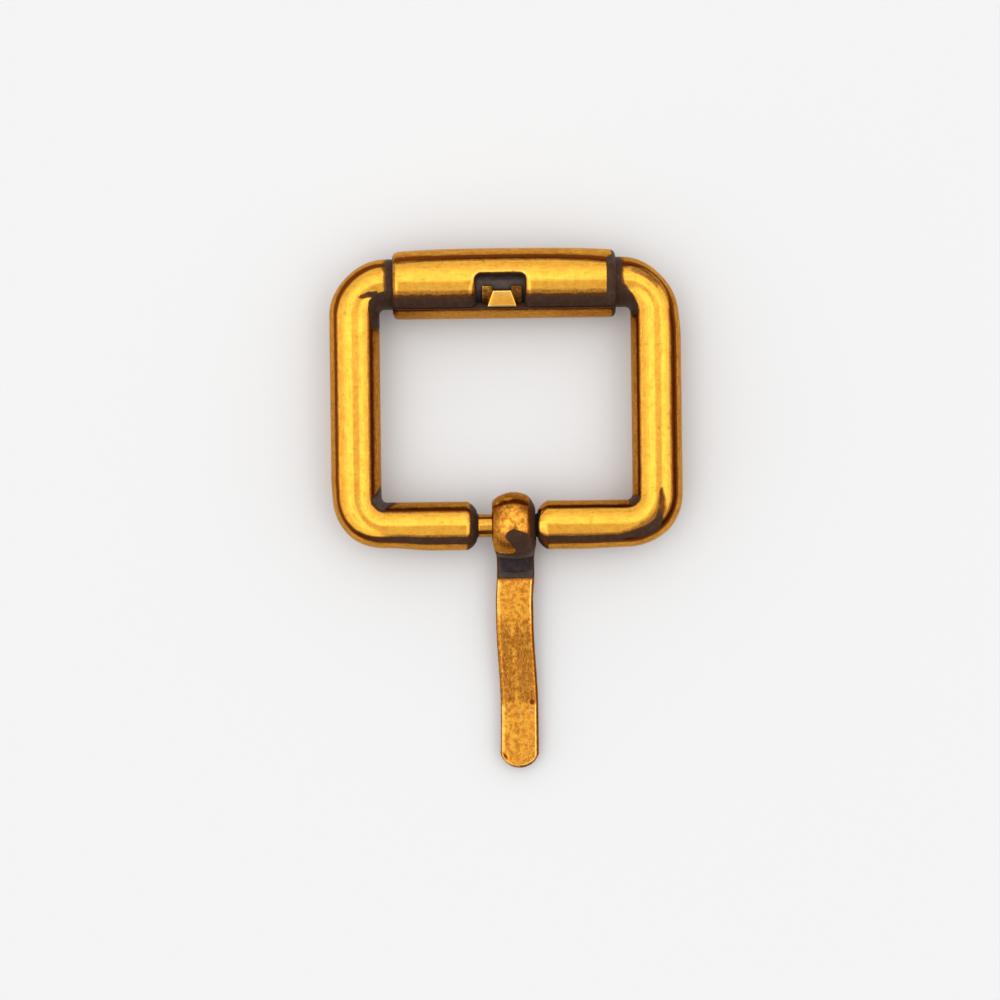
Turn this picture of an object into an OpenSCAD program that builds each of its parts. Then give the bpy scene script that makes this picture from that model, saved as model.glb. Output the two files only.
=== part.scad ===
// Roller buckle for a flat strap: a bent wire frame, a roller of rolled sheet on its
// front bar, and a prong that swings on the neck of its strap bar.
// +X runs along the strap bar, +Y from the strap bar to the roller, +Z up.
// The origin is on the strap bar's axis, midway between the side bars.
// The buckle lies flat with its prong thrown open, away from the roller.

/* [Frame] */
// Clear width between the side bars, for a strap of that width
strap_w = 20; // [16:0.5:32]
// Diameter of the frame's wire
wire_d = 4; // [3.2:0.1:5]
// Distance from the strap bar's axis to the roller bar's axis
bar_pitch = 19.3; // [17:0.1:28]
// Inside radius of the four bends
inside_bend_r = 0.45; // [0.2:0.05:2]
// Diameter of the neck that the prong swings on
neck_d = 1.8; // [1.2:0.1:2.4]
// Side play of the prong's eye along the neck, both sides together
neck_play = 1.4; // [0.5:0.1:2]
// Chamfer on the two shoulders beside the neck
shoulder_chamfer = 0.7; // [0.1:0.05:0.9]
// Fillet, cut as a cone, at each root of the neck
neck_root = 0.15; // [0.05:0.05:0.2]
// Gap of the butt joint where the wire's two ends meet inside the roller
butt_gap = 0.1; // [0.05:0.05:0.5]
// Distance of that joint from the middle of the roller bar, which keeps it out of the notch
butt_x = 5; // [3:0.5:6]

/* [Roller] */
// Thickness of the roller's sheet
roller_wall = 0.72; // [0.6:0.02:1]
// Radial play of the roller on its bar
roller_play = 0.08; // [0.04:0.01:0.2]
// Bare bar left between each end of the roller and the start of the bend
roller_end_gap = 0.6; // [0.2:0.1:2]
// Rounding of the roller's outer ends
roller_edge_r = 0.45; // [0.1:0.05:0.5]
// Width of the notch in the upper edge of the sheet, along the roller
window_w = 3.9; // [3.5:0.1:6]
// Height of that notch above the seam, square to the punch
window_h = 3; // [2.6:0.1:3.4]
// Corner radius of the notch
window_corner_r = 0.35; // [0.1:0.05:0.6]
// Sideways set of the notch from the middle of the roller
window_x = -0.2; // [-0.5:0.05:0.5]
// Turn of the notch's middle from the roller's crest towards the strap bar, in degrees
window_turn = 16; // [0:1:40]
// Gap of the seam between the sheet's two long edges
seam_gap = 0.12; // [0.05:0.01:0.2]
// Width of the lock tab that stands in the notch
tab_w = 3.2; // [2.6:0.1:3.4]
// Sideways set of the lock tab from the middle of the notch
tab_set = 0.1; // [-0.1:0.05:0.1]
// Height of the lock tab above the seam
tab_h = 2.05; // [1.6:0.05:2.4]
// Thickness of the lock tab, which is set down on the inside of the sheet
tab_t = 0.35; // [0.2:0.05:0.5]
// Width of the slot between the tab's two fingers
slot_w = 1.4; // [0.8:0.1:1.8]
// Depth of that slot
slot_h = 0.45; // [0.2:0.05:0.8]
// Width of the raised rib on the tab, at the seam
rib_foot_w = 2.4; // [1.8:0.1:2.6]
// Height of the rib above the tab's face
rib_rise = 0.2; // [0.05:0.05:0.3]

/* [Prong] */
// Width of the prong's eye along the neck
eye_w = 3.45; // [3.2:0.05:4]
// Thickness of the metal that is curled into the eye
eye_t = 1.7; // [1.2:0.1:2]
// Radius of the crown across the eye's outer face
eye_crown_r = 2.4; // [2.2:0.1:6]
// Radial play of the eye on the neck
eye_play = 0.06; // [0.03:0.01:0.1]
// Gap at rest between the eye and the shoulder on its +X side
eye_side_gap = 0.2; // [0.1:0.05:0.4]
// Angle that the curl goes round, from below the neck
curl_angle = 285; // [270:1:290]
// Width of the shank
shank_w = 3; // [2.4:0.1:3.2]
// Thickness of the shank next to the eye
shank_t = 1.45; // [1.2:0.05:1.7]
// Distance from the hinge axis to where the flat of the shank begins
heel_l = 4.15; // [3.8:0.05:5]
// Step up from the coined heel to the flat of the shank
heel_rise = 0.3; // [0.1:0.05:0.4]
// Length of the ramp at that step
heel_ramp_l = 0.55; // [0.3:0.05:0.8]
// Length of the flat next to the heel
shank_flat_l = 3.45; // [2:0.05:5]
// Fall of that flat over its length
shank_fall = 0.06; // [0:0.01:0.2]
// Length of the flat at the tip
tip_l = 4.85; // [3:0.05:6]
// Thickness at the tip
tip_t = 1.4; // [1:0.1:1.6]
// Radius of the tip's rounded end
tip_r = 1.6; // [1.6:0.05:3]
// Reach of the tip past the roller's crest when the prong is closed
tip_over = 0.2; // [0:0.05:1]
// Sideways set of the tip
tip_set = 0.35; // [0:0.05:0.5]

/* [Hidden] */
$fn = 96;
over = 1;
brass = "goldenrod";

// Frame
wire_r = wire_d / 2;
bend_r = wire_r + inside_bend_r;
straight_x = strap_w / 2 - inside_bend_r;
straight_y = bar_pitch - 2 * bend_r;
neck_r = neck_d / 2;
neck_l = eye_w + neck_play;
chamfer = min(shoulder_chamfer, 0.8 * (wire_r - neck_r - neck_root));

// Roller
roller_bore = wire_r + roller_play;
roller_r = roller_bore + roller_wall;
roller_l = 2 * straight_x - 2 * roller_end_gap;
edge_r = min(roller_edge_r, roller_wall);
seam_v = -window_h / 2;
tab_top = seam_v + tab_h;
slot_floor = tab_top - slot_h;
tab_r = roller_bore + tab_t;
rib_r = tab_r + rib_rise;

// Prong
eye_bore = neck_r + eye_play;
eye_r = eye_bore + eye_t;
eye_x = neck_l / 2 - eye_side_gap - eye_w / 2;
curl_overlap = 8;
reach = bar_pitch + tip_over;
floor_z = -max(roller_r, eye_r);
shank_y = heel_l + shank_flat_l;
tip_y = reach - tip_l;
heel_y = heel_l - heel_ramp_l;
heel_z = -eye_bore;
shank_z = heel_z + heel_rise;
shank_end_z = shank_z - shank_fall;
tip_z = floor_z + tip_t;

// A quarter turn of wire about the origin, from the +X side to the +Y side
module bend() {
  rotate_extrude(angle = 90) translate([bend_r, 0]) circle(r = wire_r);
}

// A straight length of wire along -X, from the origin
module bar(length) {
  rotate([0, -90, 0]) cylinder(r = wire_r, h = length);
}

// What is turned off the strap bar to leave the neck, its roots and two chamfered shoulders
module neck_groove() {
  shoulder = neck_l / 2;
  half = [
    [neck_r, shoulder - neck_root],
    [neck_r + neck_root, shoulder],
    [wire_r - chamfer, shoulder],
    [wire_r + over, shoulder + chamfer + over]
  ];
  other_half = [for (i = [len(half) - 1:-1:0]) [half[i][0], -half[i][1]]];
  rotate([0, 90, 0]) rotate_extrude() polygon(concat(half, other_half));
}

// The +X half of the frame, about the middle of its opening, before the neck and the butt joint are cut
module half_frame() {
  half_y = straight_y / 2;
  translate([straight_x + bend_r, -half_y, 0]) rotate([-90, 0, 0]) cylinder(r = wire_r, h = straight_y);
  translate([straight_x, half_y, 0]) bend();
  translate([straight_x, -half_y, 0]) mirror([0, 1, 0]) bend();
  translate([straight_x, half_y + bend_r, 0]) bar(straight_x);
  translate([straight_x, -half_y - bend_r, 0]) bar(straight_x);
}

module frame() {
  color(brass) difference() {
    translate([0, bar_pitch / 2, 0]) {
      half_frame();
      mirror([1, 0, 0]) half_frame();
    }
    neck_groove();
    translate([butt_x, bar_pitch, 0]) cube([butt_gap, 2 * wire_d, 2 * wire_d], center = true);
  }
}

// Section of the roller's sheet, radius against distance along the roller, with its
// two outer corners rounded
module roller_wall_profile() {
  half = roller_l / 2;
  intersection() {
    translate([roller_bore, -half]) square([roller_wall, roller_l]);
    union() {
      translate([roller_bore, -half]) square([roller_wall - edge_r, roller_l]);
      translate([roller_bore, -half + edge_r]) square([roller_wall, roller_l - 2 * edge_r]);
      for (s = [-1, 1]) translate([roller_r - edge_r, s * (half - edge_r)]) circle(r = edge_r);
    }
  }
}

// A ring about the roller's axis
module roller_ring(r0, r1, w) {
  rotate([0, 90, 0]) rotate_extrude() translate([r0, -w / 2]) square([r1 - r0, w]);
}

// Sweeps an outline through the front of the roller, square to the notch's middle
module punch(depth = 2 * roller_r) {
  rotate([window_turn, 0, 0]) linear_extrude(depth) children();
}

// The notch, open to the seam, with its two far corners rounded
module window_outline() {
  r = window_corner_r;
  translate([-window_w / 2, seam_v]) square([window_w, window_h - r]);
  translate([-window_w / 2 + r, seam_v]) square([window_w - 2 * r, window_h]);
  for (s = [-1, 1]) translate([s * (window_w / 2 - r), -seam_v - r]) circle(r = r);
}

// The lock tab's forked outline, rooted below the seam
module tab_outline() {
  root = roller_wall / 2;
  difference() {
    translate([-tab_w / 2, seam_v - root]) square([tab_w, tab_h + root]);
    translate([-slot_w / 2, slot_floor]) square([slot_w, slot_h + over]);
  }
}

module rib_outline() {
  root = roller_wall / 2;
  polygon([
    [-rib_foot_w / 2, seam_v - root],
    [rib_foot_w / 2, seam_v - root],
    [rib_foot_w / 2, seam_v],
    [slot_w / 2, slot_floor],
    [-slot_w / 2, slot_floor],
    [-rib_foot_w / 2, seam_v]
  ]);
}

module roller() {
  color(brass) translate([0, bar_pitch, 0]) {
    difference() {
      rotate([0, 90, 0]) rotate_extrude() roller_wall_profile();
      punch() translate([window_x, 0]) window_outline();
      punch() translate([-roller_l / 2 - over, seam_v]) square([roller_l + 2 * over, seam_gap]);
    }
    translate([window_x + tab_set, 0, 0]) {
      intersection() {
        roller_ring(roller_bore, tab_r, tab_w);
        punch() tab_outline();
      }
      intersection() {
        roller_ring(roller_bore, rib_r, tab_w);
        punch() rib_outline();
      }
    }
  }
}

// Section of the eye: straight at the bore, crowned outside
module eye_profile() {
  intersection() {
    translate([eye_bore, -eye_w / 2]) square([eye_t, eye_w]);
    translate([eye_r - eye_crown_r, 0]) circle(r = eye_crown_r);
  }
}

module eye() {
  rotate([0, 90, 0])
    rotate([0, 0, -curl_overlap])
      rotate_extrude(angle = curl_angle + curl_overlap) eye_profile();
}

// Side view of the shank, Y against Z, from below the neck to the tip
module shank_side() {
  polygon([
    [0, heel_z],
    [-heel_y, heel_z],
    [-heel_l, shank_z],
    [-shank_y, shank_end_z],
    [-tip_y, tip_z],
    [-reach, tip_z],
    [-reach, floor_z],
    [-tip_y, floor_z],
    [-shank_y, shank_end_z - shank_t],
    [-heel_l, shank_z - shank_t],
    [-eye_r, -eye_r],
    [0, -eye_r]
  ]);
}

// Plan of the shank: it leaves the eye straight, sets over to one side and ends in an arc
module shank_plan() {
  half = shank_w / 2;
  tip_drop = tip_r - sqrt(pow(tip_r, 2) - pow(half, 2));
  polygon([
    [-half, 0],
    [-half, -shank_y],
    [-half + tip_set, -tip_y],
    [-half + tip_set, -reach + tip_drop],
    [half + tip_set, -reach + tip_drop],
    [half + tip_set, -tip_y],
    [half, -shank_y],
    [half, 0]
  ]);
  intersection() {
    translate([tip_set, -reach + tip_r]) circle(r = tip_r);
    translate([tip_set - half, -reach]) square([shank_w, tip_drop + over]);
  }
}

module shank() {
  intersection() {
    rotate([90, 0, 90]) linear_extrude(2 * eye_w, center = true) shank_side();
    translate([0, 0, floor_z - over]) linear_extrude(-floor_z + over) shank_plan();
  }
}

// What is cut from under the heel to carry the eye's crown on to the flat of the shank
module heel_undercut() {
  difference() {
    translate([-eye_w, -heel_l, floor_z - over]) cube([2 * eye_w, heel_l + over, -floor_z + over]);
    translate([0, -heel_l - over, eye_crown_r - eye_r])
      rotate([-90, 0, 0]) cylinder(r = eye_crown_r, h = heel_l + 3 * over);
  }
}

module prong() {
  color(brass) translate([eye_x, 0, 0]) {
    eye();
    difference() {
      shank();
      heel_undercut();
    }
  }
}

frame();
roller();
prong();
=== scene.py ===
"""Looks of a roller buckle in antique brass: a wire frame, a roller of rolled sheet and a prong.

Lengths are in millimetres and become metres as points are laid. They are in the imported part's frame: +X
along the strap bar, +Y towards the roller, +Z up. Knots are (at, value) pairs, and a stretch is (starts,
full, still full, ends).
"""
from collections import namedtuple
from functools import partialmethod
from math import acos, cos, degrees, hypot, inf, pi, radians, sin, sqrt

import bmesh
import bpy
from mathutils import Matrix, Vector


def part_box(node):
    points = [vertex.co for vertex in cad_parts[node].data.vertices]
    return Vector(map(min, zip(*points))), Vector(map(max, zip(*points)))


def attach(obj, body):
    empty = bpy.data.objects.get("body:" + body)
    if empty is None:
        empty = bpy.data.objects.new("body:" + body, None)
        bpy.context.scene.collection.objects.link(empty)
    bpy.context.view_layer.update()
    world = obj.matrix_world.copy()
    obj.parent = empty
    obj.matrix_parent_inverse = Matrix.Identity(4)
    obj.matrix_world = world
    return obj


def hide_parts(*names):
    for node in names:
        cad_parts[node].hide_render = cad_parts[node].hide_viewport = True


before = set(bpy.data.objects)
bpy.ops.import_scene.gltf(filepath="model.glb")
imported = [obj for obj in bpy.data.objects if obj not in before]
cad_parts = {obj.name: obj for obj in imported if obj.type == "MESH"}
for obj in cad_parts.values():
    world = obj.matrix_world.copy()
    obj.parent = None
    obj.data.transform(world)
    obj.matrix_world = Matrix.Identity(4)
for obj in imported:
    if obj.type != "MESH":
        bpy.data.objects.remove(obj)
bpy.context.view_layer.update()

MM = 0.001
QUARTER = pi / 2

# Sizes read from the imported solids
frame_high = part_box("frame")[1]
roller_low, roller_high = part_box("roller")
prong_low, prong_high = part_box("prong")
WIRE_R = frame_high.z / MM
BAR_PITCH = (roller_low.y + roller_high.y) / 2 / MM
ROLLER_R = roller_high.z / MM
ROLLER_HALF = roller_high.x / MM
REACH = -prong_low.y / MM
EYE_R = prong_high.z / MM
FLOOR_Z = min(roller_low.z, prong_low.z) / MM

# Frame
INSIDE_BEND_R = 0.45
BEND_R = WIRE_R + INSIDE_BEND_R
STRAIGHT_X = frame_high.x / MM - WIRE_R - BEND_R
STRAIGHT_Y = BAR_PITCH - 2 * BEND_R
STRAP_BAR_R = 1.94
BUTT_X = 5.0
BUTT_GAP = 0.1
BUTT_CHAMFER = 0.12
NECK_R = 0.9
NECK_HALF = 2.425
NECK_FILLET = 0.2
SHOULDER = 0.82

# Roller. Its ends stop a little short of the solid's
ROLLER_LEFT = roller_low.x / MM + 0.05
ROLLER_RIGHT = ROLLER_HALF - 0.14
ROLLER_BORE = 2.08
ROLLER_EDGE = 0.45
ROLLER_TAPER = 0.24
NOTCH_X = -0.33
NOTCH_HALF = 1.95
NOTCH_CORNER = 0.42
NOTCH_LIP = 0.42
NOTCH_TOP = radians(12.2)
SEAM_UPPER = radians(-47.0)
SEAM_LOWER = radians(310.4)
SEAM_ROUND = 0.1

# Prong
EYE_W = 3.45
EYE_X = prong_low.x / MM + EYE_W / 2
EYE_BORE = 0.96
EYE_CROWN = 2.4
EYE_EDGE = 0.14
CURL = radians(285)
SHANK_W = 3.0
SHANK_EDGE = 0.34
HEEL = 4.25
SHANK_BEND = 7.6
TIP_L = 4.85
TIP_R = 1.6
TIP_T = 1.4
TIP_BEND = REACH - TIP_L


def smoothstep(low, high, value):
    """0 at low and 1 at high, smooth between them. It falls where low is the greater."""
    t = min(max((value - low) / (high - low), 0.0), 1.0)
    return t * t * (3.0 - 2.0 * t)


def lerp(start, end, t):
    return start + (end - start) * t


def through(at, knots):
    """A smooth value through knots."""
    for (start, before), (end, after) in zip(knots, knots[1:]):
        if at <= end:
            return lerp(before, after, smoothstep(start, end, at))
    return knots[-1][1]


def past(edge, soft, value):
    """0 before an edge and 1 past it."""
    return smoothstep(edge - soft, edge + soft, value)


def within(stretch, value):
    """1 inside a stretch and 0 outside it."""
    starts, full, still_full, ends = stretch
    return smoothstep(starts, full, value) * smoothstep(ends, still_full, value)


def spread(low, high, count):
    """count steps from low to high, both ends included."""
    return [lerp(low, high, i / count) for i in range(count + 1)]


def rounded(distance, radius):
    """How far a face has dropped at this distance from an edge that is rounded to this radius."""
    if distance >= radius:
        return 0.0
    inward = radius - max(distance, 0.0)
    return radius - sqrt(max(radius * radius - inward * inward, 0.0))


def round_steps(radius, count):
    """Distances from an edge at which to sample its rounding."""
    return [radius * (1.0 - cos(i / count * QUARTER)) for i in range(count + 1)]


def edged(low, high, edge, edge_count, count):
    """Places from low to high, close together at both rounded edges."""
    steps = round_steps(edge, edge_count)
    places = [low + step for step in steps]
    places += spread(places[-1], high - edge, count)[1:]
    return places + [high - step for step in reversed(steps[:-1])]


def soft_ramp(value, softness):
    """0 below zero and the value itself above it, with a soft bend between."""
    return (value + sqrt(value * value + softness * softness)) / 2


def bent_line(at, bends):
    """Height at a distance along a strip that runs through (distance, height, softness) bends."""
    first, second = bends[0], bends[1]
    slope = (second[1] - first[1]) / (second[0] - first[0])
    height = first[1] + slope * (at - first[0])
    for bend, after in zip(bends[1:], bends[2:]):
        next_slope = (after[1] - bend[1]) / (after[0] - bend[0])
        height += (next_slope - slope) * soft_ramp(at - bend[0], bend[2])
        slope = next_slope
    return height


def quads(row, next_row):
    """Faces between two rows of points."""
    pairs = list(zip(row, next_row))
    return [(a, b, next_b, next_a) for (a, next_a), (b, next_b) in zip(pairs, pairs[1:])]


def closed(row):
    """A row that ends where it starts."""
    return row + row[:1]


# Brown of a side, by how far up it looks, partly where polish misses and partly painted dark reflection: the
# soft edge of the deep line, a painted reflection of the dark horizon, and the gold past it
DEEP_EDGE = 0.11
GOLD_STARTS = 0.01
GOLD_FULL = 0.15
DEEPEST = 2.0


def flank_tone(facing_up, deepest_at, side, line=0.0):
    """How brown a side is, partly unpolished and partly painted dark reflection. It is deepest in a line
    where the gold ends, a painted reflection of the dark horizon, which is 2 * line wide.
    """
    steep = abs(facing_up)
    deepest = smoothstep(line + DEEP_EDGE, line, abs(steep - deepest_at))
    unpolished_and_shaded = smoothstep(deepest_at + GOLD_FULL, deepest_at + GOLD_STARTS, steep)
    return side * unpolished_and_shaded + (DEEPEST - side) * deepest


def put_in_scene(name, data):
    """Adds an object to the scene."""
    item = bpy.data.objects.new(name, data)
    bpy.context.scene.collection.objects.link(item)
    return item


SHARP_ANGLE = radians(38)


class Skin:
    """Points and faces of one piece, with what its finish reads at each point.

    straight is the place on the unbent stock, patina the black in the recesses, partly dark tarnish and
    partly painted shade, and flank the browner tone of the sides, partly where polishing misses and partly
    painted dark reflection and shade; below zero it lays painted highlights, and on deep black grey dust and
    painted sheen.
    """

    def __init__(self):
        self.points = []
        self.faces = []
        self.straight = []
        self.patina_and_shade = []
        self.flank_and_painted_light = []

    def point(self, place, straight, patina_and_shade, flank_and_painted_light):
        self.points.append([value * MM for value in place])
        self.straight += straight
        self.patina_and_shade.append(patina_and_shade)
        self.flank_and_painted_light.append(flank_and_painted_light)
        return len(self.points) - 1

    def build(self, name, material):
        mesh = bpy.data.meshes.new(name)
        mesh.from_pydata(self.points, [], self.faces)
        mesh.attributes.new("straight", "FLOAT_VECTOR", "POINT").data.foreach_set("vector", self.straight)
        mesh.attributes.new("patina_and_shade", "FLOAT", "POINT").data.foreach_set("value", self.patina_and_shade)
        mesh.attributes.new("flank_and_painted_light", "FLOAT", "POINT").data.foreach_set("value", self.flank_and_painted_light)
        shell = bmesh.new()
        shell.from_mesh(mesh)
        bmesh.ops.recalc_face_normals(shell, faces=shell.faces)
        shell.to_mesh(mesh)
        shell.free()
        mesh.shade_smooth()
        mesh.set_sharp_from_angle(angle=SHARP_ANGLE)
        mesh.materials.append(material)
        return put_in_scene(name, mesh)


# Frame: rings of wire along the bent path

RING_COUNT = 180
BAR_STEPS = 40
BEND_STEPS = 48
SIDE_STEPS = 56
STRAP_STEPS = 28
SHOULDER_STEPS = 10
FILLET_STEPS = 5
NECK_STEPS = 12
# The shoulder is nearer to a chamfer than a circle is, and its +X crest keeps most of its height
SHOULDER_POWER = 1.4
CREST_SHARE = 0.8
CREST_POWER = 1.3
# Stations this close to the butt joint are left out
BUTT_CLEAR = 0.1

# Lengths along the wire, from the middle of the roller bar
TOP_BEND_AT = STRAIGHT_X
SIDE_AT = TOP_BEND_AT + BEND_R * QUARTER
LOW_BEND_AT = SIDE_AT + STRAIGHT_Y
LOW_CORNER_AT = LOW_BEND_AT + BEND_R * QUARTER / 2
STRAP_BAR_AT = LOW_BEND_AT + BEND_R * QUARTER
NECK_AT = STRAP_BAR_AT + STRAIGHT_X - NECK_HALF

# path is the length along the wire, and crest how much higher its top stands than its radius there
Station = namedtuple("Station", "x y heading radius path crest", defaults=(0.0,))


def strap_bar_profile():
    """(x, radius, crest) from the bend to the middle of the neck: bar, shoulder, fillet and neck."""
    profile = [(x, STRAP_BAR_R, 0.0) for x in spread(STRAIGHT_X, NECK_HALF + SHOULDER, STRAP_STEPS)[1:]]
    for turn in spread(0.0, QUARTER, SHOULDER_STEPS)[1:]:
        x = NECK_HALF + SHOULDER * (1 - sin(turn) ** SHOULDER_POWER)
        drop = SHOULDER * (1 - cos(turn) ** SHOULDER_POWER)
        profile.append((x, STRAP_BAR_R - drop, CREST_SHARE * drop))
    for turn in spread(0.0, QUARTER, FILLET_STEPS):
        x = NECK_HALF - NECK_FILLET * (1 - cos(turn))
        profile.append((x, NECK_R + NECK_FILLET * (1 - sin(turn)), 0.0))
    neck = spread(NECK_HALF - NECK_FILLET, 0.0, NECK_STEPS)[1:]
    return profile + [(x, NECK_R, 0.0) for x in neck]


def wire_stations():
    """Stations along the +X half of the wire, from the middle of the roller bar to the middle of the neck."""
    stations = []
    for x in spread(0.0, STRAIGHT_X, BAR_STEPS):
        stations.append(Station(x, BAR_PITCH, 0.0, WIRE_R, x))
    top_y = BAR_PITCH - BEND_R
    turns = spread(0.0, QUARTER, BEND_STEPS)[1:]
    for turn in turns:
        x = STRAIGHT_X + BEND_R * sin(turn)
        y = top_y + BEND_R * cos(turn)
        stations.append(Station(x, y, -turn, WIRE_R, TOP_BEND_AT + BEND_R * turn))
    for y in spread(top_y, BEND_R, SIDE_STEPS)[1:]:
        stations.append(Station(STRAIGHT_X + BEND_R, y, -QUARTER, WIRE_R, SIDE_AT + top_y - y))
    for turn in turns:
        x = STRAIGHT_X + BEND_R * cos(turn)
        y = BEND_R - BEND_R * sin(turn)
        radius = lerp(WIRE_R, STRAP_BAR_R, smoothstep(0.0, QUARTER, turn))
        stations.append(Station(x, y, -QUARTER - turn, radius, LOW_BEND_AT + BEND_R * turn))
    for x, radius, crest in strap_bar_profile():
        stations.append(Station(x, 0.0, -pi, radius, STRAP_BAR_AT + STRAIGHT_X - x, crest))
    return stations


def wire_path():
    """Stations round the whole frame, with the length along the wire running both ways from x = 0."""
    half = wire_stations()
    ends = []
    for way in (1, -1):
        face = BUTT_X + way * BUTT_GAP / 2
        behind = face + way * BUTT_CHAMFER
        ends.append([
            Station(face, BAR_PITCH, 0.0, WIRE_R - BUTT_CHAMFER, face),
            Station(behind, BAR_PITCH, 0.0, WIRE_R, behind),
        ])
    right = [s for s in half if s.path > ends[0][1].path + BUTT_CLEAR]
    left = [s._replace(x=-s.x, heading=-s.heading, path=-s.path, crest=0.0) for s in reversed(half[:-1])]
    past_middle = [s for s in half[1:] if s.path < ends[1][1].path - BUTT_CLEAR]
    return ends[0] + right + left + past_middle + ends[1][::-1]


# What differs between the halves of the wire. Lengths run along it from the middle of the roller bar, angles
# round it from 0 on the outside of the frame to 180 on the inside
Half = namedtuple("Half", (
    # How far the outer side is drawn in, by length
    "inset",
    # End of the roller bar's black, (length, from, to) angles where it runs on, 1 where a streak leaves it
    "black_reach", "black_steps", "streak",
    # Black inside the low bend and its half length, by angle
    "corner_black", "corner_half",
    # The strap bar's black band, by degrees round the low bend
    "band_middle", "band_half", "band_black",
    # How far the neck's black climbs the shoulder, by angle, and where it ends
    "root_climb", "root_end",
    # Where the sides are brownest, in a line of painted dark reflection, outside by degrees round the low
    # bend, and half the width of that line
    "inner_deepest", "outer_deepest", "line",
    # How these change outside the top bend, and the painted shade beside its crest
    "deepest_in_bend", "line_in_bend", "shade",
))
RIGHT = Half(
    inset=((9.3, 0.0), (11.6, 0.31), (15.4, 0.0), (29.0, 0.0), (31.0, 0.13), (35.5, 0.0)),
    black_reach=9.3,
    black_steps=((0.4, 95, 108), (1.3, 108, 128), (2.7, 124, 142)),
    streak=0.0,
    corner_black=((126, 0.0), (140, 0.6)),
    corner_half=((0, 1.5),),
    band_middle=((0, 84), (12, 81), (30, 75), (48, 62), (60, 61), (80, 63), (115, 54)),
    band_half=((-14, 0), (0, 4), (12, 6), (30, 8), (50, 15), (62, 15), (95, 9)),
    band_black=((24, 0.35), (50, 0.85)),
    root_climb=((25, 0.788), (55, 0.0664)),
    root_end=0.3,
    inner_deepest=0.66,
    outer_deepest=((0, 0.755),),
    line=0.06,
    deepest_in_bend=-0.08,
    line_in_bend=-0.07,
    shade=1.05,
)
LEFT = Half(
    inset=(
        (9.6, 0.0), (11.5, 0.12), (13.4, 0.0), (26.4, 0.0),
        (28.2, 0.09), (29.8, 0.05), (31.7, 0.23), (35.3, 0.0),
    ),
    black_reach=9.5,
    black_steps=((2.4, 109, 118), (1.0, 118, 127), (1.7, 124, 138)),
    streak=1.0,
    corner_black=((120, 0.0), (134, 1.0)),
    corner_half=((125, 1.6), (165, 2.6)),
    band_middle=((0, 54),),
    band_half=((38, 0), (115, 9)),
    band_black=((0, 0.85),),
    root_climb=((25, 0.788), (55, 0.5256)),
    root_end=0.12,
    inner_deepest=0.745,
    outer_deepest=((17.19, 0.69), (90, 0.73)),
    line=0.01,
    deepest_in_bend=0.0,
    line_in_bend=0.05,
    shade=0.0,
)

# Streak on the -X top bend: where it starts, its length, and its angles and strength along it
STREAK_START = 10.2
STREAK_LENGTH = 2.0
STREAK_MIDDLE = (121, 91)
STREAK_HALF = (11, 4)
STREAK_STRENGTH = (1.0, 0.4)
STREAK_END = ((0.8, 1.0), (1.0, 0.0))
STREAK_EDGE = ((0.5, 1.0), (1.6, 0.0))


def bend_streak(path, turn):
    """How strong the streak is that runs from the black on the inside of the top bend out to its crest."""
    t = (path - STREAK_START) / STREAK_LENGTH
    if not 0.0 < t < 1.0:
        return 0.0
    from_middle = abs(turn - lerp(*STREAK_MIDDLE, t)) / lerp(*STREAK_HALF, t)
    return lerp(*STREAK_STRENGTH, t) * through(t, STREAK_END) * through(from_middle, STREAK_EDGE)


THINNEST_BAND = 0.5
FAR_FROM_BAND = 9.0


def low_bend_turn(path):
    """Degrees round the low bend."""
    return degrees((path - LOW_BEND_AT) / BEND_R)


def black_band(path, turn, half):
    """How many half widths from the middle of the strap bar's black band, and how black the band is."""
    round_bend = low_bend_turn(path)
    width = through(round_bend, half.band_half)
    if width > THINNEST_BAND:
        from_band = (turn - through(round_bend, half.band_middle)) / width
    else:
        from_band = FAR_FROM_BAND
    return from_band, through(round_bend, half.band_black)


# Black on the wire and its soft edges
BAR_BLACK = ((3.0, 1.0), (5.0, 0.85))
BAR_BLACK_SOFT = ((125, 0.4), (150, 0.9))
STREAK_BLACK = 0.8
CORNER_SOFT = 0.4
BAND_EDGE = ((0.6, 1.0), (1.3, 0.0))
BAND_END = ((-0.1, 1.0), (0.0, 0.0))
ROOT_BLACK = 0.85
ROOT_SOFT = 0.15


def frame_patina(path, turn, half):
    """Black on the roller bar, in its streak, inside the low bend, in the band and at the neck's root: dark
    tarnish in hollows, with painted shade under the roller and in the inner corners.
    """
    from_corner = abs(path - LOW_CORNER_AT)
    past_shoulder = path - NECK_AT
    bar_end = half.black_reach
    bar_end += sum(more * smoothstep(low, high, turn) for more, low, high in half.black_steps)
    bar = through(path, BAR_BLACK) * (1.0 - past(bar_end, through(turn, BAR_BLACK_SOFT), path))
    streak = STREAK_BLACK * half.streak * bend_streak(path, turn)
    corner = through(turn, half.corner_black)
    corner *= 1.0 - past(through(turn, half.corner_half), CORNER_SOFT, from_corner)
    from_band, band_black = black_band(path, turn, half)
    band = band_black * through(past_shoulder, BAND_END) * through(abs(from_band), BAND_EDGE)
    root = ROOT_BLACK * past(-through(turn, half.root_climb), ROOT_SOFT, past_shoulder)
    root *= 1.0 - past(half.root_end, ROOT_SOFT, past_shoulder)
    return max(bar, streak, corner, band, root)


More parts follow.
